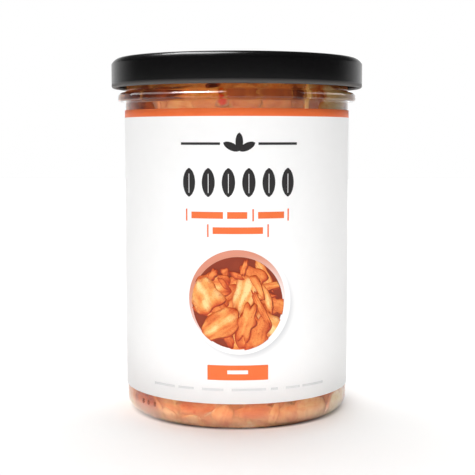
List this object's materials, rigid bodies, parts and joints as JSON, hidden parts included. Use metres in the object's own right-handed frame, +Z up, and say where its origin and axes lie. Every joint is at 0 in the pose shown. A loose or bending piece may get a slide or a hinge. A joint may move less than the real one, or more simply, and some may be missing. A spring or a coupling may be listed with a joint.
{
  "type": "kimchi jar",
  "caption": "Straight-sided clear glass jar packed with kimchi, shut by a black twist-off lid and wrapped in a white label with an orange band.",
  "frame": {"origin": "on the table, under the jar's axis", "axes": "+Z up along the jar's axis, -Y out of the middle of the label's front, +X to the right of a viewer facing the label"},
  "size_m": [0.0856, 0.0856, 0.1196],
  "materials": {
    "clear_glass": "clear, polished",
    "black_lacquer": "satin black lacquer on tinplate",
    "label_paper": "coated white paper with orange and grey print",
    "kimchi": "wet fermented cabbage in chilli brine"
  },
  "bodies": {
    "root": {"glass_jar": "clear_glass", "lid": "black_lacquer", "label": "label_paper", "kimchi": "kimchi"}
  },
  "joints": []
}
